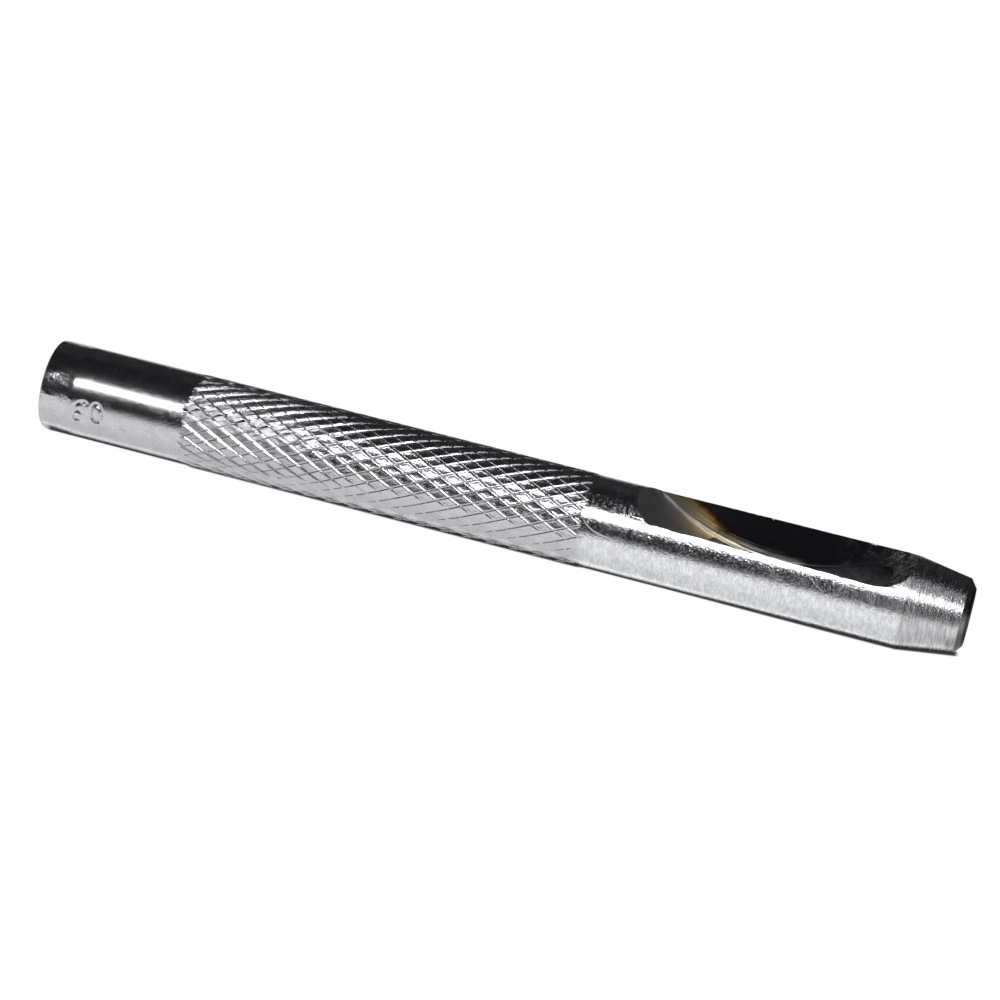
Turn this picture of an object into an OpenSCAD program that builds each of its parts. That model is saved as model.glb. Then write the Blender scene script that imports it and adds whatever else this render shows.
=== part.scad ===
// Hollow punch for leather, card and gasket sheet. It is one bar of plated tool steel: the tip is
// turned to a taper and bevelled to a round cutting edge, the middle is knurled for grip, a bore
// is drilled in from the tip, and a slot sunk in one side lets the punched discs fall out.
// The punch lies along X on its grip, with the cutting edge at +X and the slot facing up.

/* [Shank] */
// Length from the striking face to the cutting edge
punch_length = 102; // [98:0.5:130]
// Diameter of the plain shank
shank_d = 10; // [9:0.1:12]
// Rounding of the rim of the striking face
head_rim_r = 0.35; // [0.1:0.05:1]

/* [Knurled grip] */
// Plain length between the striking face and the grip
head_length = 16.4; // [10:0.1:20]
// Length of the grip
grip_length = 44.5; // [30:0.5:48]
// Number of grooves around the grip in each of the two directions
groove_count = 24; // [16:1:30]
// Angle between a groove and the axis
groove_angle = 27; // [22:0.5:40]
// Width of a groove between the lands beside it
groove_w = 0.3; // [0.15:0.01:0.45]
// Depth of a groove below the lands
groove_depth = 0.2; // [0.1:0.01:0.4]
// Height of the lands above the plain shank
land_rise = 0.05; // [0.02:0.01:0.2]

/* [Cutting tip] */
// Length of the taper between the shank and the bevel
taper_length = 6; // [3:0.1:8]
// Diameter where the taper meets the bevel
tip_d = 8; // [7:0.1:8.8]
// Length of the bevel
bevel_length = 0.7; // [0.3:0.05:1.5]
// Width of the cutting edge between the bore and the bevel
edge_w = 0.06; // [0.02:0.01:0.2]

/* [Bore] */
// Diameter of the bore, and so of the hole that the punch cuts
bore_d = 6; // [4:0.1:6.4]
// Depth of the straight wall of the bore, from the cutting edge
bore_depth = 28; // [20:0.5:36]
// Point angle of the drill that made the bore
drill_point_angle = 118; // [90:1:140]

/* [Slug slot] */
// Length of closed tube between the cutting edge and the slot
tip_ring_length = 6.4; // [4:0.1:10]
// Width of the slot
slot_w = 6.6; // [4.5:0.1:7.4]
// Depth of the slot below the top of the shank
slot_depth = 5.8; // [4.5:0.1:6.5]
// Radius of the disc cutter that is sunk into the shank to make the slot
cutter_r = 22; // [16:0.5:26]
// Rounding of the corners of that cutter's rim
cutter_corner_r = 1.6; // [0.5:0.1:2.2]

/* [Hidden] */
$fn = 96;

// Overshoot of a cut past the face that it breaks through
cut_past = 1;

shank_r = shank_d / 2;
bore_r = bore_d / 2;
land_r = shank_r + land_rise;
groove_r = land_r - groove_depth;

// Places along the axis, from the striking face
grip_end = head_length + grip_length;
bevel_start = punch_length - bevel_length;
taper_start = bevel_start - taper_length;
bore_end = punch_length - bore_depth;

// The slot is as long as the chord that the shank's top line cuts from the sunken disc
slot_half_length = sqrt(pow(cutter_r, 2) - pow(cutter_r - slot_depth, 2));
slot_middle = punch_length - tip_ring_length - slot_half_length;

// The bar goes on under the knurl at this radius, inside the bottoms of the grooves
core_cover = 0.4;
core_r = groove_r - core_cover;

// The two sets of grooves leave a net of diamond lands: one ring of lands to each row
land_step = 360 / groove_count;
groove_pitch = 2 * PI * land_r / groove_count;
row_count = round(2 * grip_length * tan(groove_angle) / groove_pitch);
row_gap = grip_length / row_count;
land_share = 1 - groove_w / (groove_pitch * cos(groove_angle));

// A point on the grip, at a radius, a distance along it and an angle around it
function grip_point(r, along, turn) = [along, r * cos(turn), r * sin(turn)];

// Angle of a land's middle, and of the crossing of grooves beside it; rows alternate by half a step
function land_turn(row, i) = (i + (row % 2) / 2) * land_step;
function crossing_turn(row, i) = (i + ((row + 1) % 2) / 2) * land_step;

// The four corners of a land: towards the head, back around, towards the tip, on around
function land_corners(row, i) =
    let (turn = land_turn(row, i), reach = row_gap * land_share, swing = land_step / 2 * land_share)
    [
        grip_point(land_r, max(0, row * row_gap - reach), turn),
        grip_point(land_r, row * row_gap, turn - swing),
        grip_point(land_r, min(grip_length, row * row_gap + reach), turn),
        grip_point(land_r, row * row_gap, turn + swing)
    ];

// Places in the list of points: crossings first, then the lands, then the middles of both ends
function crossing_at(row, i) = row * groove_count + (i + groove_count) % groove_count;
land_base = (row_count + 1) * groove_count;
function land_at(row, i, corner) = land_base + 4 * (row * groove_count + i) + corner;
end_base = 5 * land_base;

// The crossings beside a land, in the order of its corners
function crossings_around(row, i) = [
    crossing_at(row - 1, i),
    crossing_at(row, i - 1 + row % 2),
    crossing_at(row + 1, i),
    crossing_at(row, i + row % 2)
];

// The top of a land, and the groove walls that run down from each of its whole sides
function land_faces(row, i) =
    let (
        top = [for (corner = [0:3]) land_at(row, i, corner)],
        foot = crossings_around(row, i),
        sides = row == 0 ? [1, 2] : row == row_count ? [3, 0] : [0:3]
    )
    concat(
        [[top[0], top[1], top[2]], [top[0], top[2], top[3]]],
        [for (k = sides) [top[k], foot[k], foot[(k + 1) % 4]]],
        [for (k = sides) [top[k], foot[(k + 1) % 4], top[(k + 1) % 4]]]
    );

// The rim of one end of the grip, through its crossings and half lands
function end_rim(row, outer_corner) = [
    for (i = [0:groove_count - 1])
        each [
            crossings_around(row, i)[1],
            land_at(row, i, 1),
            land_at(row, i, outer_corner),
            land_at(row, i, 3)
        ]
];

// Triangles from the middle of an end to its rim
function end_faces(middle, rim, facing_head) = [
    for (k = [0:len(rim) - 1])
        let (next = rim[(k + 1) % len(rim)])
        facing_head ? [middle, rim[k], next] : [middle, next, rim[k]]
];

module knurled_band() {
    points = concat(
        [for (row = [0:row_count], i = [0:groove_count - 1])
            grip_point(groove_r, row * row_gap, crossing_turn(row, i))],
        [for (row = [0:row_count], i = [0:groove_count - 1]) each land_corners(row, i)],
        [[0, 0, 0], [grip_length, 0, 0]]
    );
    faces = concat(
        [for (row = [0:row_count], i = [0:groove_count - 1]) each land_faces(row, i)],
        end_faces(end_base, end_rim(0, 0), true),
        end_faces(end_base + 1, end_rim(row_count, 2), false)
    );
    translate([head_length, 0, 0])
        polyhedron(points, faces);
}

// Half outline of the turned bar, radius across and distance from the striking face upwards
module bar_outline() {
    polygon([
        [0, 0],
        [shank_r - head_rim_r, 0],
        [shank_r - head_rim_r, head_rim_r],
        [shank_r, head_rim_r],
        [shank_r, head_length],
        [core_r, head_length],
        [core_r, grip_end],
        [shank_r, grip_end],
        [shank_r, taper_start],
        [tip_d / 2, bevel_start],
        [bore_r + edge_w, punch_length],
        [0, punch_length]
    ]);
    translate([shank_r - head_rim_r, head_rim_r])
        circle(head_rim_r);
}

module turned_bar() {
    rotate([0, 90, 0])
        rotate_extrude()
            bar_outline();
}

module drilled_bore() {
    point_length = bore_r / tan(drill_point_angle / 2);
    translate([bore_end, 0, 0])
        rotate([0, 90, 0])
            cylinder(r = bore_r, h = bore_depth + cut_past);
    translate([bore_end - point_length, 0, 0])
        rotate([0, 90, 0])
            cylinder(r1 = 0, r2 = bore_r, h = point_length);
}

// Half outline of the disc cutter, with its rim corners rounded
module cutter_outline() {
    flat_half = slot_w / 2 - cutter_corner_r;
    translate([0, -flat_half])
        square([cutter_r, 2 * flat_half]);
    translate([0, -slot_w / 2])
        square([cutter_r - cutter_corner_r, slot_w]);
    for (side = [-1, 1])
        translate([cutter_r - cutter_corner_r, side * flat_half])
            circle(cutter_corner_r);
}

module disc_cut() {
    translate([slot_middle, 0, shank_r - slot_depth + cutter_r])
        rotate([90, 0, 0])
            rotate_extrude()
                cutter_outline();
}

module punch() {
    color("silver")
        translate([-punch_length / 2, 0, land_r])
            union() {
                difference() {
                    turned_bar();
                    drilled_bore();
                    disc_cut();
                }
                knurled_band();
            }
}

punch();
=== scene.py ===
import math

import bmesh
import bpy
import numpy as np
from mathutils import Euler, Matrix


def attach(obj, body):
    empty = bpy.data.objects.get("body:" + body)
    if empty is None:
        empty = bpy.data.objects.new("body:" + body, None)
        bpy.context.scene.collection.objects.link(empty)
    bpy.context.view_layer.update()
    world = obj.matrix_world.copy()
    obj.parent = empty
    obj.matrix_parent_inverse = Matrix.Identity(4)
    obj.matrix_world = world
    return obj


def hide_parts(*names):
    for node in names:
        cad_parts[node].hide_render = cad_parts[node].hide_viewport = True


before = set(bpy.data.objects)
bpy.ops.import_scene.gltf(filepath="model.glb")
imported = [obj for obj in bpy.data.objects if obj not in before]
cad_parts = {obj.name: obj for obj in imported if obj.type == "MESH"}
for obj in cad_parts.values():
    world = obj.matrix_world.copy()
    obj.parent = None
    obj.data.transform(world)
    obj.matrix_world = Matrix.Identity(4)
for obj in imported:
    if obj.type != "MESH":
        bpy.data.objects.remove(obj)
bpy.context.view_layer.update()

# Sizes of the punch in millimetres. A station is a distance from the striking face along the axis,
# and an angle goes round the axis in degrees, from +Y over the top of the punch.
MM = 0.001
PUNCH_LENGTH = 102.0
AXIS_HEIGHT = 5.05

HEAD_R = 4.985
HEAD_RIM_R = 0.12
FACE_DISH = 0.03
LAND_R = 5.03
SHANK_R = 5.0
TAPER_START = 95.3
BEVEL_START = 101.3
BEVEL_R = 4.0
EDGE_R = 3.06
BORE_R = 3.0
BORE_END = 74.0
DRILL_POINT = 72.2

# The angle that faces the photograph's camera
FRONT_ANGLE = 143.5

# The net of diamond lands that the two sets of grooves leave on the grip
GROOVE_COUNT = 24
LAND_STEP = 360 / GROOVE_COUNT
ROW_GAP = 1.297
LAND_STATION = 20.79
LAND_ANGLE = 136.5
FIRST_ROW = -4
LAST_ROW = 32
GRIP_START = 16.37
GRIP_END = 60.87
LAND_PITCH = 1.167
# How wide the rim round a land's dish is, and how far lands tilt
DISH_W = 0.26
LAND_LEAN = 0.03
# Lines of the mesh across one land, as shares of the way from one groove to the next
LAND_LINES = np.array([0, 0.045, 0.095, 0.17, 0.26, 0.36, 0.5, 0.64, 0.74, 0.83, 0.905, 0.95])
COLUMNS = GROOVE_COUNT * len(LAND_LINES)
# The grooves are broad and worn near the head, and fine past the second of these stations
FINE_STATIONS = (17, 42)
# Widths of the groove walls. As the camera sees them, set a runs down towards the tip and set b runs up.
NARROW_A = 0.07
BROAD_A = 0.36
FINE_A = 0.15
NARROW_B = 0.05
BROAD_B = 0.56
FINE_B = 0.19
LOW_BROAD_B = 0.14
LOW_FINE_B = 0.13
# Slopes of the wider walls, and how they change with each degree from the front
LEAST_SLOPE_A = 0.194
SLOPE_A_STEP = 0.0236
LOW_SLOPE_B = 0.72
SLOPE_B_STEP = 0.0218
SLOPE_B_START = 11.5

# The disc cutter that sank the slot
SLOT_MIDDLE = 80.7
SLOT_W = 6.85
SLOT_FLOOR = -1.4
CUTTER_R = 20.5
CUTTER_CORNER_R = 0.45
CUTTER_END_CORNER_R = 1.3
CUTTER_SWING = 54.0
CUTTER_INNER_R = 13.0
SLOT_SKEW = 0.8

# Places of the finishes in the punch's list
PLATED, BURNT, BORED = range(3)

BLACK = (0, 0, 0, 1)
WHITE = (1, 1, 1, 1)


def smooth(low, high, x):
    """Goes smoothly from 0 at low to 1 at high."""
    t = np.clip((x - low) / (high - low), 0, 1)
    return t * t * (3 - 2 * t)


def around(a, b):
    """Difference of two angles in degrees, from -180 to 180."""
    return (a - b + 180) % 360 - 180


def wander(x, seed, longest, count=6):
    """A smooth uneven line along x, about -1 to 1, whose longest wave is given."""
    draw = np.random.RandomState(seed)
    total = np.zeros_like(x, dtype=float)
    for k in range(count):
        wave = longest / 1.7**k
        total += np.sin(2 * np.pi * (x / wave + draw.rand())) / 1.3**k
    return total / 2.2


# The marks on the head

# The stamped number: its middle, its lean, its depth and the half width of a stroke
MARK_STATION = 5.6
MARK_TURN = -27
MARK_LEAN = 8
MARK_DEPTH = 0.21
MARK_STROKE = 0.24
# The struck end draws in over this length, by this much for each millimetre
STRUCK_LENGTH = 3.2
STRUCK_SLOPE = 0.015


def stroke_distance(u, v, points):
    """Distance from (u, v) to a line through the points."""
    best = np.full(u.shape, 1e9)
    for (u0, v0), (u1, v1) in zip(points, points[1:]):
        du, dv = u1 - u0, v1 - v0
        t = np.clip(((u - u0) * du + (v - v0) * dv) / (du * du + dv * dv), 0, 1)
        best = np.minimum(best, np.hypot(u - u0 - t * du, v - v0 - t * dv))
    return best


def size_mark(u, v):
    """Distance from the strokes of a plain 6.0, the bore's size in millimetres."""
    turn = np.radians(np.arange(0, 361, 20))
    bowl = [(-1.1 + 0.62 * np.cos(t), -0.42 + 0.6 * np.sin(t)) for t in turn]
    nought = [(1.1 + 0.62 * np.cos(t), 0.05 + 1.07 * np.sin(t)) for t in turn]
    turn = np.radians(np.arange(180, 69, -10))
    stem = [(-0.45 + 1.27 * np.cos(t), -0.42 + 1.62 * np.sin(t)) for t in turn]
    dot = [(-0.02, -0.85), (0.08, -0.85)]
    return np.min([stroke_distance(u, v, line) for line in (bowl, stem, nought, dot)], 0)


# Small knocks: station, angle from the front, length along, length around, depth
KNOCKS = (
    (9.8, -41, 0.3, 0.3, 0.16),
    (9.9, -50, 0.5, 0.2, 0.07),
    (7.4, -46, 0.28, 0.3, 0.10),
    (0.9, 22, 0.15, 0.2, 0.015),
    (1.6, 17, 0.13, 0.2, 0.012),
    (2.2, 19, 0.12, 0.2, 0.015),
    (2.9, 29, 0.3, 0.2, 0.02),
    (2.4, -2, 0.14, 0.2, 0.03),
    (3.6, -9, 0.3, 0.25, 0.03),
    (5.7, 29, 0.16, 0.16, 0.03),
    (8.5, 20, 0.18, 0.18, 0.03),
    (0.8, 3, 0.2, 0.3, 0.02),
    (1.3, -30, 0.3, 0.7, 0.02),
    (0.6, 60, 0.3, 0.7, 0.04),
    (0.7, 120, 0.35, 0.8, 0.04),
    (0.6, 205, 0.3, 0.7, 0.04),
    (2.8, 160, 0.25, 0.3, 0.03),
)


def head_relief(station, angle):
    """Height of the head's surface over its turned radius: the struck end, the number and the knocks."""
    front = around(FRONT_ANGLE, angle)
    drawn_in = STRUCK_LENGTH + 0.25 * wander(angle, 51, 60.0) - station
    relief = -STRUCK_SLOPE * np.clip(drawn_in, 0, None)
    lean = np.radians(MARK_LEAN)
    along = station - MARK_STATION
    up = np.radians(front - MARK_TURN) * HEAD_R
    u = along * np.cos(lean) + up * np.sin(lean)
    v = up * np.cos(lean) - along * np.sin(lean)
    press = 0.8 + 0.2 * np.sin(1.7 * u + 0.6 * v)
    relief -= MARK_DEPTH * press * np.clip(1 - size_mark(u, v) / MARK_STROKE, 0, 1)
    for at, turn, long, wide, depth in KNOCKS:
        far = np.hypot((station - at) / long, np.radians(around(front, turn)) * HEAD_R / wide)
        relief -= depth * np.exp(-(far**2))
        relief += 0.2 * depth * np.exp(-(((far - 1.7) / 0.5) ** 2))
    return relief


# The knurled grip

def land_line(i):
    """Place of mesh line i across the lands, in whole lands."""
    n = len(LAND_LINES)
    return i // n + LAND_LINES[i % n]


def groove_depth(share, before, after, depth):
    """Depth of a set of grooves: one at each whole number, with walls of two widths beside it."""
    past = (share - np.round(share)) * LAND_PITCH
    width = np.where(past < 0, before, after)
    return depth * np.clip(1 - np.abs(past) / width, 0, 1)


def land_dish(a, b, before_a, after_a, before_b, after_b):
    """How far a land is dished, from 0 at its rim to 1 in its middle."""
    in_a, in_b = (a - np.floor(a)) * LAND_PITCH, (b - np.floor(b)) * LAND_PITCH
    inside = np.minimum(np.minimum(in_a - after_a, LAND_PITCH - in_a - before_a),
                        np.minimum(in_b - after_b, LAND_PITCH - in_b - before_b))
    return smooth(0.01, 0.01 + DISH_W, inside)


def land_lean(a, b):
    """Height of the lands' own slight tilts, which differ from land to land."""
    row, line = np.floor(a), np.floor(b)
    in_a, in_b = a - row, b - line
    flat = 16 * in_a * (1 - in_a) * in_b * (1 - in_b)
    chance = np.sin(12.9898 * row + 78.233 * line) * 437.585
    chance_a = 2 * (chance - np.floor(chance)) - 1
    chance_b = 2 * (7.31 * chance - np.floor(7.31 * chance)) - 1
    return LAND_LEAN * flat * (chance_a * (in_a - 0.5) + chance_b * (in_b - 0.5))


# Below, up and down are angles from the front, and fine goes from 0 near the head to 1 towards the tip

def keel_fade(down):
    """1 below the front of the grip, going to 0 at its underside."""
    return 1 - smooth(95, 130, down)


def crown_fade(up):
    """1 from the front over the top to the back of the grip, and 0 below its back."""
    return 1 - smooth(140, 170, up)


def walls_of_a(up, fine):
    """Widths of both walls of set a, and its depth. Its second wall is wide below the front."""
    broad, down = 1 - fine, -up
    above = smooth(2, 22, up) * crown_fade(up)
    before = NARROW_A + 0.015 * fine + 0.03 * broad * above
    broad_wall = BROAD_A * (1 - 0.4 * smooth(55, 80, down)) - 0.26 * above
    after = broad_wall * broad + (FINE_A - 0.05 * above) * fine
    slope = np.clip(LEAST_SLOPE_A + SLOPE_A_STEP * down, LEAST_SLOPE_A, 1.0)
    shallow = 0.75 * fine * smooth(16, 30, down) * keel_fade(down)
    deeper = 0.18 * broad * smooth(3, 18, up) + 0.045 * fine * smooth(0, 10, up)
    return before, after, after * slope * (1 - shallow) + deeper


def walls_of_b(up, fine):
    """Widths of both walls of set b, and its depth. Its first wall is wide above the front."""
    broad, down = 1 - fine, -up
    above = smooth(5, 20, up) * crown_fade(up)
    broad_wall = LOW_BROAD_B + (BROAD_B - LOW_BROAD_B) * above * (1 - 0.5 * smooth(56, 86, up))
    fine_wall = LOW_FINE_B + (FINE_B - LOW_FINE_B) * above
    before = broad_wall * broad + fine_wall * fine
    high_slope = np.clip(SLOPE_B_STEP * (up - SLOPE_B_START), 0.12, 0.85 - 0.2 * fine)
    slope = LOW_SLOPE_B * (1 - above) + high_slope * above
    shallow = 0.5 * smooth(22, 46, down) * keel_fade(down)
    return before, NARROW_B, before * slope * (1 - shallow)


def grip_radius(station, angle, a, b):
    """Radius of the grip, where a and b count its two sets of grooves."""
    ragged = 0.3 * wander(angle, 31, 70.0)
    knurl = smooth(GRIP_START - 0.3, GRIP_START + 0.5, station + ragged)
    knurl *= 1 - smooth(GRIP_END - 0.5, GRIP_END + 0.3, station + ragged)
    fine = smooth(*FINE_STATIONS, station)
    up = around(FRONT_ANGLE, angle)
    walls_a, walls_b = walls_of_a(up, fine), walls_of_b(up, fine)
    depth = np.maximum(groove_depth(a, *walls_a), groove_depth(b, *walls_b))
    dish = 0.02 + 0.034 * fine * (1 - 0.6 * smooth(8, 18, -up))
    dish = dish * land_dish(a, b, *walls_a[:2], *walls_b[:2])
    base = HEAD_R + (LAND_R - HEAD_R) * smooth(GRIP_START - 0.3, GRIP_START + 0.3, station)
    base += (SHANK_R - LAND_R) * smooth(GRIP_END - 0.3, GRIP_END + 0.3, station)
    return base + knurl * (land_lean(a, b) - depth - dish)


def grip_rings():
    """Rings of (station, angle, radius) that follow the lands."""
    n = len(LAND_LINES)
    column = np.arange(COLUMNS)
    rings = []
    for step in range(FIRST_ROW * n, LAST_ROW * n + 1):
        a = land_line(column)
        b = land_line(column + step)
        station = LAND_STATION + ROW_GAP * (b - a)
        angle = LAND_ANGLE + LAND_STEP * ((a + b) / 2 - 0.5)
        rings.append((station, angle, grip_radius(station, angle, a, b)))
    return rings


def woven_faces(first, count):
    """Faces of the grip: each runs between three rings, along the two sets of grooves."""
    faces = []
    for k in range(count):
        here = first + k * COLUMNS
        for j in range(COLUMNS):
            next_j = (j + 1) % COLUMNS
            corners = [here + j]
            if k > 0:
                corners.append(here - COLUMNS + next_j)
            corners.append(here + next_j)
            if k < count - 1:
                corners.append(here + COLUMNS + j)
            faces.append(corners)
    return faces


def plain_rings(profile, angles, relief=None):
    """Rings of a turned surface through (station, radius) points."""
    rings = []
    for station, radius in profile:
        stations = np.full(COLUMNS, float(station))
        radii = np.full(COLUMNS, float(radius))
        if relief is not None:
            radii = radii + relief(stations, angles)
        rings.append((stations, angles, radii))
    return rings


def ring_faces(first, count):
    """Faces between turned rings."""
    faces = []
    for k in range(count - 1):
        here = first + k * COLUMNS
        for j in range(COLUMNS):
            next_j = (j + 1) % COLUMNS
            faces.append([here + j, here + next_j, here + COLUMNS + next_j, here + COLUMNS + j])
    return faces


def places(rings):
    """Points of the rings in the shared frame, in metres."""
    station, angle, radius = (np.concatenate([ring[k] for ring in rings]) for k in range(3))
    turn = np.radians(angle)
    return np.column_stack([
        (station - PUNCH_LENGTH / 2) * MM,
        radius * np.cos(turn) * MM,
        (AXIS_HEIGHT + radius * np.sin(turn)) * MM,
    ])


def steps(start, end, gap):
    """Even steps from start to end, close to the gap."""
    return np.linspace(start, end, max(2, int(round(abs(end - start) / gap)) + 1))


def mesh_object(name, points, faces, kinds=None):
    """An object with these points and faces; kinds gives each face's place in the list of finishes."""
    mesh = bpy.data.meshes.new(name)
    mesh.from_pydata([tuple(p) for p in points], [], faces)
    if kinds is not None:
        mesh.polygons.foreach_set("material_index", kinds)
    mesh.update()
    made = bpy.data.objects.new(name, mesh)
    bpy.context.scene.collection.objects.link(made)
    return made


def head_and_grip():
    """The striking face, head and grip, open where the front begins."""
    grip = grip_rings()
    angles = grip[0][1]
    face = [(FACE_DISH * (1 - (r / 4.6) ** 2), r) for r in (0.5, 1.2, 2.0, 2.8, 3.5, 4.1, 4.45)]
    rim_turn = np.radians(steps(0, 90, 13))
    rim = [(HEAD_RIM_R * (1 - math.sin(t)), HEAD_R - HEAD_RIM_R * (1 - math.cos(t)))
           for t in rim_turn[::-1]]
    start = LAND_STATION + ROW_GAP * FIRST_ROW
    # The mesh is fine as far as the marks go, and coarser past them
    marked_end = 10.9
    stations = (*steps(HEAD_RIM_R, marked_end, 0.1)[1:], *steps(marked_end, start, 0.6)[1:-1])
    shaft = [(s, HEAD_R) for s in stations]
    plain = plain_rings(face, angles) + plain_rings(rim + shaft, angles, head_relief)
    middle = [(FACE_DISH - PUNCH_LENGTH / 2) * MM, 0, AXIS_HEIGHT * MM]
    points = np.vstack([[middle], places(plain + grip)])
    faces = [[0, 1 + (j + 1) % COLUMNS, 1 + j] for j in range(COLUMNS)]
    faces += ring_faces(1, len(plain) + 1)
    faces += woven_faces(1 + len(plain) * COLUMNS, len(grip))
    return points, faces, grip[-1][1]


def front_blank(angles):
    """The front of the bar before the slot is cut: shank, taper, bevel and bore, closed at its back."""
    start = LAND_STATION + ROW_GAP * LAST_ROW
    # Rings this close to the edge of the taper keep it crisp
    crisp = 0.08
    taper_stations = (TAPER_START + crisp, *steps(TAPER_START, BEVEL_START, 0.3)[1:])
    taper_slope = (BEVEL_R - SHANK_R) / (BEVEL_START - TAPER_START)
    bevel_slope = (EDGE_R - BEVEL_R) / (PUNCH_LENGTH - BEVEL_START)
    outer = [(s, SHANK_R) for s in (*steps(start, TAPER_START - crisp, 1.0), TAPER_START)]
    outer += [(s, SHANK_R + taper_slope * (s - TAPER_START)) for s in taper_stations]
    bevel_stations = steps(BEVEL_START, PUNCH_LENGTH, 0.18)[1:]
    outer += [(s, BEVEL_R + bevel_slope * (s - BEVEL_START)) for s in bevel_stations]
    bore = [(s, BORE_R) for s in steps(PUNCH_LENGTH - 0.02, BORE_END, 1.0)]
    point_length = DRILL_POINT - BORE_END
    bore += [(BORE_END + point_length * t, BORE_R * (1 - t)) for t in (0.2, 0.4, 0.6, 0.8, 0.93)]
    rings = plain_rings(outer + bore, angles)
    drill_point = [(DRILL_POINT - PUNCH_LENGTH / 2) * MM, 0, AXIS_HEIGHT * MM]
    points = np.vstack([places(rings), [drill_point]])
    faces = [list(range(COLUMNS - 1, -1, -1))]
    faces += ring_faces(0, len(rings))
    last = (len(rings) - 1) * COLUMNS
    faces += [[last + j, last + (j + 1) % COLUMNS, last + COLUMNS] for j in range(COLUMNS)]
    kinds = np.full(len(faces), PLATED)
    kinds[1 + len(outer) * COLUMNS:] = BORED
    return mesh_object("front_blank", points, faces, kinds)


def cutter_profile(corner_r):
    """Half outline of the disc cutter: (radius, place across) from one inner corner to the other."""
    half = SLOT_W / 2
    flat = half - corner_r
    side = [(r, -half) for r in np.linspace(CUTTER_INNER_R, CUTTER_R - corner_r, 28)[:-1]]
    corner = [(CUTTER_R - corner_r * (1 - math.sin(t)), -flat - corner_r * math.cos(t))
              for t in np.radians(np.linspace(0, 90, 9))]
    floor = [(CUTTER_R, y) for y in np.linspace(-flat, flat, 25)[1:-1]]
    left = side + corner
    return left + floor + [(r, -y) for r, y in left[::-1]]


def slot_cutter():
    """The part of the disc cutter that meets the punch, with the uneven surface that it leaves."""
    swing = np.radians(steps(-CUTTER_SWING, CUTTER_SWING, 0.5))
    worn = np.maximum(smooth(0.3, 0.66, swing), smooth(0.66, 0.8, -swing))
    corners = CUTTER_CORNER_R + (CUTTER_END_CORNER_R - CUTTER_CORNER_R) * worn
    profiles = np.array([cutter_profile(corner_r) for corner_r in corners])
    radius, width = profiles[:, :, 0], profiles[:, :, 1]
    across = profiles.shape[1]
    turn = np.repeat(swing[:, None], across, 1)
    travel = turn * CUTTER_R
    on_side = np.abs(width) > SLOT_W / 2 - 0.01
    radius = radius + 0.008 * wander(width, 21, 1.9) * ~on_side
    width = width + np.sign(width) * (0.012 * wander(radius + 0.02 * travel, 22, 1.6)) * on_side
    skew = math.radians(SLOT_SKEW)
    x = radius * np.sin(turn)
    points = np.column_stack([
        (SLOT_MIDDLE - PUNCH_LENGTH / 2 + x * math.cos(skew) + width * math.sin(skew)).ravel() * MM,
        (width * math.cos(skew) - x * math.sin(skew)).ravel() * MM,
        (AXIS_HEIGHT + SLOT_FLOOR + CUTTER_R - radius * np.cos(turn)).ravel() * MM,
    ])
    faces = []
    for i in range(len(swing) - 1):
        here, there = i * across, (i + 1) * across
        for k in range(across):
            next_k = (k + 1) % across
            faces.append([here + k, here + next_k, there + next_k, there + k])
    faces.append(list(range(across - 1, -1, -1)))
    faces.append([(len(swing) - 1) * across + k for k in range(across)])
    return mesh_object("slot_cutter", points, faces, np.full(len(faces), BURNT))


def face_outwards(made):
    """Turns all faces of a closed mesh to face out."""
    work = bmesh.new()
    work.from_mesh(made.data)
    bmesh.ops.recalc_face_normals(work, faces=work.faces)
    work.to_mesh(made.data)
    work.free()


def cut_front(angles, finishes):
    """The front of the punch with its slot, open at the back again."""
    blank = front_blank(angles)
    cutter = slot_cutter()
    for made in (blank, cutter):
        for material in finishes:
            made.data.materials.append(material)
        face_outwards(made)
    cut = blank.modifiers.new("slot", "BOOLEAN")
    cut.operation = "DIFFERENCE"
    cut.solver = "EXACT"
    cut.object = cutter
    made = bpy.data.meshes.new_from_object(blank.evaluated_get(bpy.context.evaluated_depsgraph_get()))
    for done in (blank, cutter):
        bpy.data.objects.remove(done)
    return made


def roughen_slot_edge(work):
    """Small notches along the rim of the slot, deeper on its far side."""
    for vert in work.verts:
        if {face.material_index for face in vert.link_faces} == {PLATED, BURNT}:
            station = vert.co.x / MM + PUNCH_LENGTH / 2
            far = vert.co.y > 0
            deepest = 0.15 if far else 0.04
            notch = deepest * smooth(0.0, 0.9, wander(station, 41 + far, 2.6))
            keep = 1 - notch / SHANK_R
            vert.co.y *= keep
            vert.co.z = AXIS_HEIGHT * MM + (vert.co.z - AXIS_HEIGHT * MM) * keep


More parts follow.
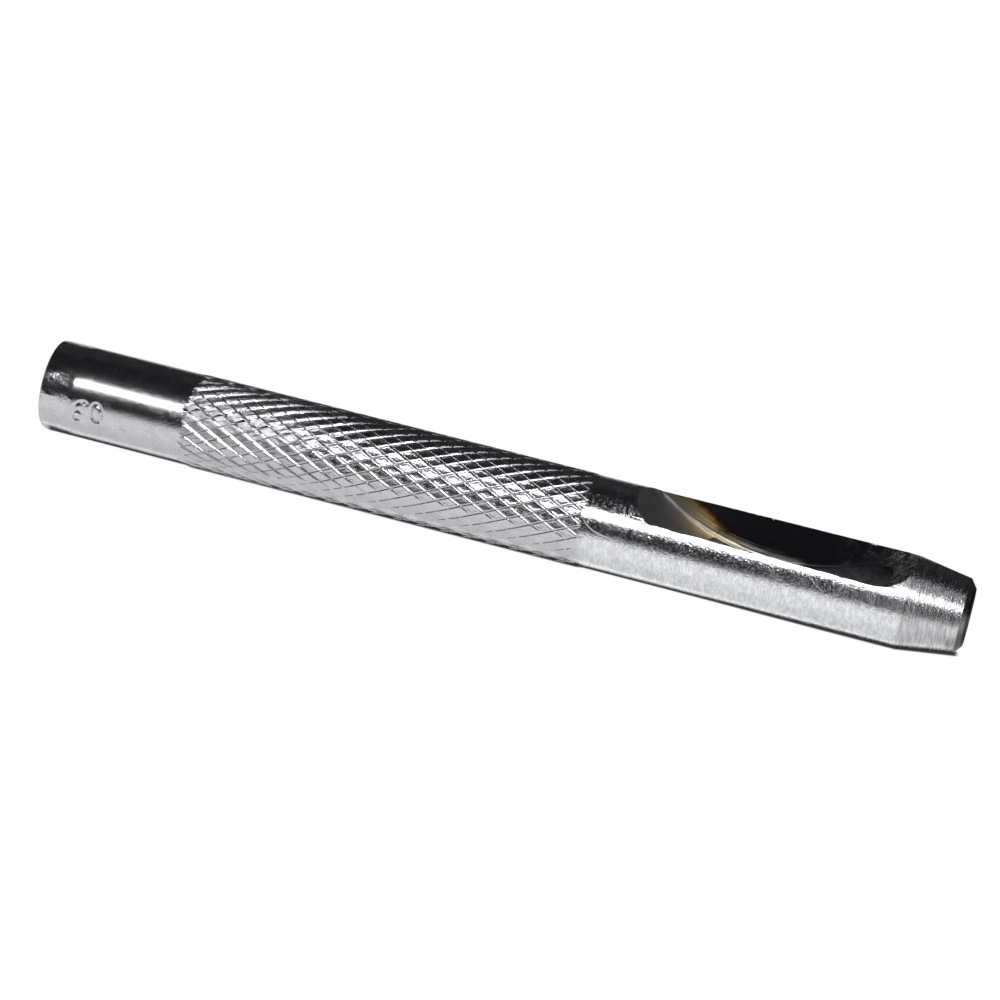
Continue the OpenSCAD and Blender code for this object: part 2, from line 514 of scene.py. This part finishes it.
def build_punch(finishes):
    """The whole punch as one closed mesh."""
    points, faces, front_angles = head_and_grip()
    front = cut_front(front_angles, finishes)
    seam_x = (LAND_STATION + ROW_GAP * LAST_ROW - PUNCH_LENGTH / 2) * MM

    def on_seam(vert):
        """Whether a vertex lies where the front meets the grip."""
        return abs(vert.co.x - seam_x) < 1e-7

    work = bmesh.new()
    work.from_mesh(front)
    roughen_slot_edge(work)
    caps = [face for face in work.faces if all(on_seam(vert) for vert in face.verts)]
    bmesh.ops.delete(work, geom=caps, context="FACES_ONLY")
    made = [work.verts.new(p) for p in points]
    for corners in faces:
        work.faces.new([made[k] for k in corners]).material_index = PLATED
    seam = [vert for vert in work.verts if on_seam(vert)]
    bmesh.ops.remove_doubles(work, verts=seam, dist=1e-6)
    bmesh.ops.recalc_face_normals(work, faces=work.faces)
    sharp = math.radians(38)
    for edge in work.edges:
        edge.smooth = len(edge.link_faces) == 2 and edge.calc_face_angle(0) < sharp
    for face in work.faces:
        face.smooth = True
    mesh = bpy.data.meshes.new("punch_body")
    work.to_mesh(mesh)
    work.free()
    for material in finishes:
        mesh.materials.append(material)
    return mesh


# Node materials

class Value:
    """A value that varies over a surface. Arithmetic on it adds Math nodes to its material."""

    def __init__(self, tree, socket):
        self.tree = tree
        self.socket = socket

    def node(self, kind, inputs=None, output=0, **settings):
        """Adds a node: its settings first, then its inputs by name or place. Gives one output."""
        made = self.tree.nodes.new(kind)
        for name, setting in settings.items():
            if name == "stops":
                ramp = made.color_ramp.elements
                while len(ramp) < len(setting):
                    ramp.new(1.0)
                for stop, (place, colour) in zip(ramp, setting):
                    stop.position = place
                    stop.color = (*colour, 1)
            else:
                setattr(made, name, setting)
        for name, given in (inputs or {}).items():
            if isinstance(name, int):
                socket = made.inputs[name]
            else:
                socket = next(s for s in made.inputs if s.name == name and s.enabled)
            if isinstance(given, Value):
                self.tree.links.new(given.socket, socket)
            else:
                socket.default_value = given
        outputs = [s for s in made.outputs if s.enabled]
        return Value(self.tree, outputs[output] if isinstance(output, int) else made.outputs[output])

    def math(self, operation, *terms, clamp=False):
        """A Math node on these terms."""
        return self.node("ShaderNodeMath", dict(enumerate(terms)), operation=operation, use_clamp=clamp)

    def __add__(self, other):
        return self.math("ADD", self, other)

    def __radd__(self, other):
        return self.math("ADD", other, self)

    def __sub__(self, other):
        return self.math("SUBTRACT", self, other)

    def __rsub__(self, other):
        return self.math("SUBTRACT", other, self)

    def __mul__(self, other):
        return self.math("MULTIPLY", self, other)

    def __rmul__(self, other):
        return self.math("MULTIPLY", other, self)

    def __truediv__(self, other):
        return self.math("DIVIDE", self, other)

    def __pow__(self, other):
        return self.math("POWER", self, other)

    def between(self, low, high):
        """Goes smoothly from 0 where this is low to 1 where it is high."""
        return self.node("ShaderNodeMapRange", {"Value": self, "From Min": low, "From Max": high},
                         interpolation_type="SMOOTHSTEP")

    def inside(self, rise, fall):
        """1 between two places, coming smoothly from 0 over the rise and going back to 0 over the fall."""
        return self.between(*rise) * (1 - self.between(*fall))

    def line(self, half_width, fade_end):
        """A line where this is 0: 1 within its half width, going smoothly to 0 at the end of its fade."""
        return 1 - self.math("ABSOLUTE", self).between(half_width, fade_end)

    def limited(self):
        """This, held between 0 and 1."""
        return self.math("ADD", self, 0.0, clamp=True)

    def scaled(self, x, y, z):
        """A vector with each of its three parts multiplied."""
        return self.node("ShaderNodeVectorMath", {0: self, 1: (x, y, z)}, operation="MULTIPLY")

    def noise(self, scale, detail=2.0, rough=0.5):
        """Noise at this place."""
        inputs = {"Vector": self, "Scale": scale, "Detail": detail, "Roughness": rough}
        return self.node("ShaderNodeTexNoise", inputs)

    def mixed(self, colour_0, colour_1):
        """A colour between two, by this value."""
        return self.node("ShaderNodeMix", {"Factor": self, "A": colour_0, "B": colour_1}, data_type="RGBA")

    def bumped(self):
        """The normal of a surface whose relief this is, in millimetres."""
        return self.node("ShaderNodeBump", {"Strength": 1.0, "Distance": MM, "Height": self})


def near(place, reach):
    """A range about a place."""
    return place - reach, place + reach


def place_in_mm(tree):
    """A material's place in the shared frame, in millimetres."""
    return Value(tree, tree.nodes.new("ShaderNodeTexCoord").outputs["Object"]).scaled(1000, 1000, 1000)


def parts_of(where):
    """The station of a place, its distance across from the axis, and its height over the axis."""
    x, y, z = (where.node("ShaderNodeSeparateXYZ", {0: where}, output=k) for k in range(3))
    return x + PUNCH_LENGTH / 2, y, z - AXIS_HEIGHT


def finish(name):
    """A node material, its place in the shared frame in millimetres, and its shader."""
    material = bpy.data.materials.get(name) or bpy.data.materials.new(name)
    material.use_nodes = True
    tree = material.node_tree
    tree.nodes.clear()
    out = tree.nodes.new("ShaderNodeOutputMaterial")
    shader = tree.nodes.new("ShaderNodeBsdfPrincipled")
    tree.links.new(shader.outputs[0], out.inputs[0])
    return material, place_in_mm(tree), shader


def feed(shader, **inputs):
    """Links values to a shader's inputs, or sets constants there."""
    for name, given in inputs.items():
        socket = shader.inputs[name.replace("_", " ")]
        if isinstance(given, Value):
            given.tree.links.new(given.socket, socket)
        else:
            socket.default_value = given


def plated_finish():
    """Bright plating: smooth on the head, drawn along the knurl on the grip, turned rings on the taper."""
    material, where, shader = finish("plated")
    along, across, height = parts_of(where)
    lean = across.math("ARCTAN2", across, height)

    # Regions of the punch
    grip = along.inside(near(GRIP_START, 0.3), near(GRIP_END, 0.3))
    worn = 1 - along.between(17.0, 44.0)
    front = along.between(GRIP_END - 0.5, GRIP_END + 1.0)
    taper = along.between(*near(TAPER_START, 0.2))
    struck = 1 - along.between(1.5, 3.6)
    bevel = along.between(*near(BEVEL_START, 0.05))
    edge = along.between(PUNCH_LENGTH - 0.3, PUNCH_LENGTH - 0.1)
    radius = (across * across + height * height) ** 0.5
    land = radius.between(LAND_R - 0.055, LAND_R - 0.03) * grip

    # Grain, clouds and tool marks
    grain = where.noise(9.0, 2.0, 0.6)
    speck = where.scaled(1.5, 0.8, 0.8).noise(6.0, 2.0, 0.6).between(0.45, 0.72)
    cloud = where.noise(0.6, 3.0, 0.55)
    turned = where.scaled(9.0, 1.1, 1.1).noise(1.0, 3.0, 0.65)
    mottle = where.scaled(2.4, 1.2, 1.2).noise(1.0, 2.0, 0.6)
    ringed = where.scaled(4.5, 0.45, 0.45).noise(1.0, 3.0, 0.7)
    pits = where.scaled(1.2, 0.9, 0.9).noise(5.0, 1.0, 0.5).between(0.5, 0.78)
    turn = (90 - LAND_ANGLE) / LAND_STEP - lean * (GROOVE_COUNT / (2 * math.pi))
    climb = (along - LAND_STATION) / (2 * ROW_GAP)
    woven = where.node("ShaderNodeCombineXYZ", {0: (turn + climb) * 4.5, 1: (turn - climb) * 0.9})
    drawn = woven.noise(1.0, 2.0, 0.6)

    # A curled scratch beside the grip and a slanted one below the slot
    front_turn = lean * (180 / math.pi) + (FRONT_ANGLE - 90)
    curl = front_turn + 16.2 - 15.4 * along.math("EXPONENT", (61.1 - along) / 1.15)
    curled = curl.line(0.35, 1.0) * along.inside((61.0, 61.2), (64.0, 65.0))
    slant = front_turn - 3.2 + 7.7 * (along - 84.8)
    slanted = slant.line(0.3, 0.9) * along.inside((84.7, 84.9), (86.6, 87.2))
    scratch = curled.math("MAXIMUM", curled, 0.5 * slanted)

    tone = (0.4 * cloud + 0.6 * grain).between(0.3, 0.7)
    head_tone = tone.mixed((0.50, 0.50, 0.525, 1), (0.66, 0.66, 0.685, 1))
    front_blend = (0.2 * tone + 0.5 * mottle + 0.3 * turned).between(0.36, 0.66)
    front_tone = front_blend.mixed((0.62, 0.625, 0.645, 1), (0.88, 0.885, 0.91, 1))
    taper_tone = ringed.between(0.3, 0.7).mixed((0.38, 0.38, 0.39, 1), (0.72, 0.72, 0.73, 1))
    # The bevel is coloured darker, and its cutting edge near black as painted shade
    bevel_tone_and_edge_shade = edge.mixed((0.30, 0.30, 0.31, 1), (0.06, 0.06, 0.065, 1))
    tip_tone_and_shade = bevel.mixed(taper_tone, bevel_tone_and_edge_shade)
    colour = front.mixed(head_tone, taper.mixed(front_tone, tip_tone_and_shade))
    colour = scratch.mixed(colour, (0.9, 0.9, 0.92, 1))

    rough = (0.18 + 0.06 * cloud.between(0.35, 0.75) + 0.06 * speck - 0.03 * struck
             + grip * (0.02 - 0.09 * worn + 0.21 * worn * land)
             + front * (0.09 * speck - 0.10)
             + taper * (0.3 * turned.between(0.4, 0.75) - 0.08))
    head_pits = 0.008 * along.between(6.0, 11.0) * (1 - front) * (1 - grip)
    drawn_in = 3.65 + 0.9 * (cloud - 0.5) - along
    relief = ((grain - 0.5) * (0.012 + 0.004 * grip + 0.004 * front)
              + (turned - 0.5) * (0.006 * front + 0.030 * taper + 0.014 * struck)
              + (mottle - 0.5) * (0.009 * front)
              - pits * (0.011 * front + head_pits)
              - 0.16 * drawn_in.math("MAXIMUM", drawn_in, 0.0)
              + (drawn - 0.5) * land * (0.015 + 0.085 * worn))
    feed(shader, Base_Color=colour, Metallic=1 - 0.8 * scratch, Roughness=rough, Normal=relief.bumped())
    return material


def burnt_finish():
    """The walls of the slot: bright at its back end, then straw and brown where the cutter heated it, then
    black, which is oxide and also painted shade deep in the slot.
    """
    material, where, shader = finish("burnt")
    along, across, height = parts_of(where)
    half = SLOT_W / 2

    # Distance from the cutter's own axis, and the streaks that it leaves
    turn_x = along - SLOT_MIDDLE
    turn_z = height - (SLOT_FLOOR + CUTTER_R)
    reach = (turn_x * turn_x + turn_z * turn_z) ** 0.5
    sweep = where.node("ShaderNodeCombineXYZ", {0: reach, 1: across, 2: along * 0.04})
    streak = sweep.noise(3.0, 3.0, 0.65)
    blot = where.noise(0.9, 3.0, 0.6)
    # Colours along the slot from the cutter's heating; the black end is oxide and also painted shade
    heat_and_shade = (along + height * 1.4 + (blot - 0.5) * 1.6 + (streak - 0.5) * 0.8 - 66.5) / 12
    heat_tint_and_shade = heat_and_shade.node("ShaderNodeValToRGB", {"Fac": heat_and_shade}, stops=(
        (0.0, (0.36, 0.355, 0.36)), (0.45, (0.40, 0.39, 0.375)), (0.62, (0.63, 0.55, 0.35)),
        (0.72, (0.62, 0.46, 0.20)), (0.80, (0.18, 0.085, 0.03)), (0.84, (0.025, 0.022, 0.03)),
        (1.0, (0.022, 0.021, 0.027))))

    # Bare metal in the rear corner and on the wall, and chips and rubbed spots at the tip's end
    corner = reach.between(CUTTER_R - 0.8, CUTTER_R - 0.3) * across.between(half - 0.7, half - 0.3)
    scraped = corner * streak.between(0.45, 0.58) * (1 - along.between(81.5, 84.5))
    wall = across.between(half - 0.35, half - 0.2) * (1 - reach.between(CUTTER_R - 0.3, CUTTER_R - 0.15))
    arcs = where.node("ShaderNodeCombineXYZ", {0: reach * 13.0, 1: along * 0.2}).noise(1.0, 1.0, 0.5)
    scored = (wall * arcs.between(0.54, 0.6) * reach.between(CUTTER_R - 1.3, CUTTER_R - 0.9)
              * along.inside((74.8, 75.6), (78.5, 82.0)))
    rubbed = wall * blot.between(0.45, 0.7) * along.inside((86.5, 89.0), (91.5, 93.5))
    chip = where.scaled(2.0, 3.0, 1.0).noise(1.0, 4.0, 0.7)
    tip_end = along.between(91.0, 94.0) * height.between(0.5, 2.2)
    chipped = tip_end * chip.between(0.46, 0.6)
    # Painted shade: the rear ramp is coloured a darker grey
    ramp = reach.between(CUTTER_R - 0.3, CUTTER_R - 0.1) * (1 - along.between(69.5, 73.0))

    colour = ramp.mixed(heat_tint_and_shade, (0.25, 0.245, 0.255, 1))
    colour = chipped.mixed(colour, (0.20, 0.185, 0.17, 1))
    colour = rubbed.mixed(colour, (0.085, 0.085, 0.095, 1))
    colour = scraped.math("MAXIMUM", scraped, scored).mixed(colour, (0.75, 0.74, 0.70, 1))
    metal = (0.9 - 0.6 * heat_and_shade.between(0.78, 0.9) * (1 - scraped)) * (1 - scored)
    relief = (streak - 0.5) * 0.05 + (blot - 0.5) * 0.02 + (chip - 0.5) * 0.2 * tip_end
    feed(shader, Base_Color=colour, Metallic=metal, Roughness=0.22 + 0.2 * streak,
         Specular_IOR_Level=0.2, Normal=relief.bumped())
    return material


def bored_finish():
    """The drilled bore: dull steel coloured very dark as painted shade inside it, with fine drill rings,
    and a straw drill point.
    """
    material, where, shader = finish("bored")
    along, _, _ = parts_of(where)
    rings = where.scaled(5.0, 0.3, 0.3).noise(1.0, 3.0, 0.6)
    blot = where.noise(1.2, 3.0, 0.6)
    point = 1 - along.between(74.3, 75.4)
    # Painted shade: the inside of the bore is coloured very dark
    colour = blot.between(0.35, 0.7).mixed((0.075, 0.073, 0.08, 1), (0.15, 0.145, 0.15, 1))
    colour = point.mixed(colour, (0.46, 0.42, 0.34, 1))
    relief = (rings - 0.5) * 0.02
    feed(shader, Base_Color=colour, Metallic=0.4 + 0.5 * point,
         Roughness=0.35 + 0.2 * blot, Normal=relief.bumped())
    return material


# The stage, in millimetres and degrees

# The strip lamp: its long edges by distance and elevation, its ends and its level
STRIP_LOW = (400, 50.0)
STRIP_HIGH = (400, 58.5)
STRIP_LEFT = -252
STRIP_RIGHT = 230
STRIP_LEVEL = 8.0

# Cards for the plating to mirror: name, both ends, lower and upper edge by distance and elevation, level
WALL_END = 900
TOP_END = 240
CREST = (420, 130)
BEHIND = (70, 178)
CARDS = (
    ("front_card", -WALL_END, WALL_END, (380, 2.0), STRIP_LOW, 0.02),
    ("left_card", -WALL_END, STRIP_LEFT, STRIP_LOW, STRIP_HIGH, 0.22),
    ("right_card", STRIP_RIGHT, WALL_END, STRIP_LOW, STRIP_HIGH, 0.3),
    ("top_card", -WALL_END, TOP_END, STRIP_HIGH, CREST, 0.015),
    ("top_right_card", TOP_END, WALL_END, STRIP_HIGH, CREST, 1.0),
    ("back_card", -WALL_END, TOP_END, CREST, BEHIND, 0.03),
    ("back_mat", -WALL_END, TOP_END, BEHIND, (45.3, 186.2), 0.03),
    ("back_right_card", TOP_END, WALL_END, CREST, BEHIND, 0.8),
    ("low_side_card_1", 84, 119, (350, 8), (342, 32), 1.8),
    ("low_side_card_2", 84, 119, (342, 32), (375, 50), 1.8),
    ("high_side_card_1", 54, 84, (380, 58.5), (330, 64), 2.8),
    ("high_side_card_2", 54, 84, (330, 64), (318, 84), 2.8),
    ("high_side_card_3", 54, 84, (318, 84), (317, 97), 2.8),
)

# The floor's brightest level in the plating, and its colour where the punch keeps light from it
PAPER_MOST = 1.5
PAPER_SHADE = (0.04, 0.04, 0.045, 1)


def stage_material(name):
    """An empty node material for the stage, and its output's surface."""
    material = bpy.data.materials.new(name)
    material.use_nodes = True
    material.node_tree.nodes.clear()
    out = material.node_tree.nodes.new("ShaderNodeOutputMaterial")
    return material, out.inputs["Surface"]


def seen_directly(tree):
    """1 for rays from the camera and for reflections, 0 for the light that spreads."""
    path = tree.nodes.new("ShaderNodeLightPath")
    camera, glossy, clear = (Value(tree, path.outputs[k]) for k in
                             ("Is Camera Ray", "Is Glossy Ray", "Is Transmission Ray"))
    return (camera + glossy + clear).limited()


def stage_sheet(name, corners, material):
    """A flat sheet of the stage through four corners in millimetres."""
    sheet = mesh_object(name, np.array(corners) * MM, [[0, 1, 2, 3]])
    sheet.data.materials.append(material)
    return sheet


def white_floor():
    """The pale floor: white to the camera, with painted shade where the punch keeps light from it."""
    material, surface = stage_material("white_floor")
    tree = material.node_tree
    direct = seen_directly(tree)
    camera = Value(tree, tree.nodes.new("ShaderNodeLightPath").outputs["Is Camera Ray"])
    along, across, _ = parts_of(place_in_mm(tree))
    away = across.math("ABSOLUTE", across)

    under = along.inside((-0.6, 0.2), (PUNCH_LENGTH - 0.7, PUNCH_LENGTH - 0.1))
    grip = along.inside(near(GRIP_START, 0.5), near(GRIP_END, 0.5))
    near_tip = along.between(66.0, 92.0)
    lifted = ((along - TAPER_START) / (PUNCH_LENGTH - TAPER_START)).limited()

    # What the camera sees: a painted dark line of contact and a painted soft shadow behind the punch
    contact_shade = 1 - (away - 0.2 * grip - 0.2 * near_tip + 1.6 * lifted).between(1.5, 1.85)
    shadow = across.inside((1.0, 3.0), (7.0, 12.0))
    floor_with_soft_shadow = (under * shadow * 0.22).mixed(WHITE, BLACK)
    seen = (under * contact_shade).mixed(floor_with_soft_shadow, PAPER_SHADE)

    # What the plating mirrors: painted shade on the floor under the punch and in front of its tip, a
    # painted lit line beside it and the paler floor beyond
    covered_shade = 1 - (away - 0.6 * grip - 0.4 * near_tip + 1.3 * lifted).between(3.2, 3.75)
    lit_line = (away - 4.15 - 0.4 * grip).line(0.05, 0.42)
    shade_past_tip = along.inside((100.0, 103.0), (107.0, 118.0)) * (1 - away.between(4.0, 16.0))
    paper_light_and_shade = (0.8 + 0.2 * away.between(4.5, 15.0) + 0.7 * lit_line) / PAPER_MOST
    paper_colour = paper_light_and_shade.mixed(BLACK, (PAPER_MOST, PAPER_MOST, PAPER_MOST, 1))
    beyond = shade_past_tip.mixed(paper_colour, (0.3, 0.3, 0.31, 1))
    mirrored = (under * covered_shade).mixed(beyond, PAPER_SHADE)

    white = direct.node("ShaderNodeEmission", {"Color": camera.mixed(mirrored, seen), "Strength": 1.0})
    paper = direct.node("ShaderNodeBsdfDiffuse", {"Color": (0.85, 0.85, 0.86, 1)})
    mix = direct.node("ShaderNodeMixShader", {0: direct, 1: paper, 2: white})
    tree.links.new(mix.socket, surface)
    side = 3000
    stage_sheet("floor", [(-side, -side, 0), (side, -side, 0), (side, side, 0), (-side, side, 0)], material)


def mirror_card(name, corners, level):
    """A card beside the set for the plating to mirror, which the camera doesn't see."""
    material, surface = stage_material(name)
    tree = material.node_tree
    glow = tree.nodes.new("ShaderNodeEmission")
    glow.inputs["Color"].default_value = (level, level, level * 1.05, 1)
    tree.links.new(glow.outputs[0], surface)
    card = stage_sheet(name, corners, material)
    card.visible_camera = False
    card.visible_shadow = False
    card.visible_diffuse = False


def rising(distance, elevation):
    """(y, z) of a point in front of the punch at a distance and an elevation; past 90 it is behind."""
    turn = math.radians(elevation)
    return -distance * math.cos(turn), AXIS_HEIGHT + distance * math.sin(turn)


def card_across(name, x0, x1, low, high, level):
    """A card that runs along X between two (distance, elevation) edges."""
    (y0, z0), (y1, z1) = rising(*low), rising(*high)
    mirror_card(name, [(x0, y0, z0), (x1, y0, z0), (x1, y1, z1), (x0, y1, z1)], level)


def soft_lamp(name, middle, aim, size, level):
    """A soft rectangular lamp at a place in millimetres, as bright all over as the level says."""
    lamp = bpy.data.lights.new(name, "AREA")
    lamp.shape = "RECTANGLE"
    lamp.size, lamp.size_y = (s * MM for s in size)
    lamp.energy = level * math.pi * lamp.size * lamp.size_y
    made = bpy.data.objects.new(name, lamp)
    bpy.context.scene.collection.objects.link(made)
    made.location = [v * MM for v in middle]
    back = np.array(middle, float) - np.array(aim, float)
    made.rotation_euler = Euler((math.acos(back[2] / np.linalg.norm(back)), 0, 0))
    made.visible_camera = False


def light_stage():
    """The floor, the white surroundings, the strip lamp and the cards."""
    white_floor()
    world = bpy.data.worlds.new("studio")
    bpy.context.scene.world = world
    world.use_nodes = True
    tree = world.node_tree
    tree.nodes.clear()
    out = tree.nodes.new("ShaderNodeOutputWorld")
    direct = seen_directly(tree)
    sky_colour = direct.mixed((0.35, 0.35, 0.36, 1), WHITE)
    sky = direct.node("ShaderNodeBackground", {"Color": sky_colour, "Strength": 1.0})
    tree.links.new(sky.socket, out.inputs["Surface"])
    (y0, z0), (y1, z1) = rising(*STRIP_LOW), rising(*STRIP_HIGH)
    middle = ((STRIP_LEFT + STRIP_RIGHT) / 2, (y0 + y1) / 2, (z0 + z1) / 2)
    size = (STRIP_RIGHT - STRIP_LEFT, math.hypot(y1 - y0, z1 - z0))
    soft_lamp("strip_lamp", middle, (middle[0], 0, AXIS_HEIGHT), size, STRIP_LEVEL)
    for card in CARDS:
        card_across(*card)
    # Dark sheets by the tip, which the camera doesn't see: painted shade of the floor for the bevel to
    # mirror
    mirror_card("tip_shade_mat", [(44, 8, 0.4), (110, 8, 0.4), (110, 70, 0.4), (44, 70, 0.4)], 0.03)
    mirror_card("tip_shade_card", [(80, -40, 0), (80, 120, 0), (80, 120, 90), (80, -40, 40)], 0.03)


def photo_camera():
    """The camera, fitted to the punch's outline: its place in millimetres and its turn in degrees."""
    camera = bpy.data.cameras.new("camera")
    camera.lens = 111.9
    camera.sensor_width = 36.0
    camera.clip_start = 0.01
    camera.clip_end = 20.0
    made = bpy.data.objects.new("camera", camera)
    bpy.context.scene.collection.objects.link(made)
    made.location = [v * MM for v in (60.27, -261.66, 198.66)]
    made.rotation_euler = Euler([math.radians(v) for v in (53.9755, -5.399, 16.881)])
    bpy.context.scene.camera = made


bpy.context.scene.view_settings.view_transform = "Standard"
light_stage()
photo_camera()
finishes = [plated_finish(), burnt_finish(), bored_finish()]
body = bpy.data.objects.new("punch_body", build_punch(finishes))
bpy.context.scene.collection.objects.link(body)
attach(body, "root")
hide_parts("punch")
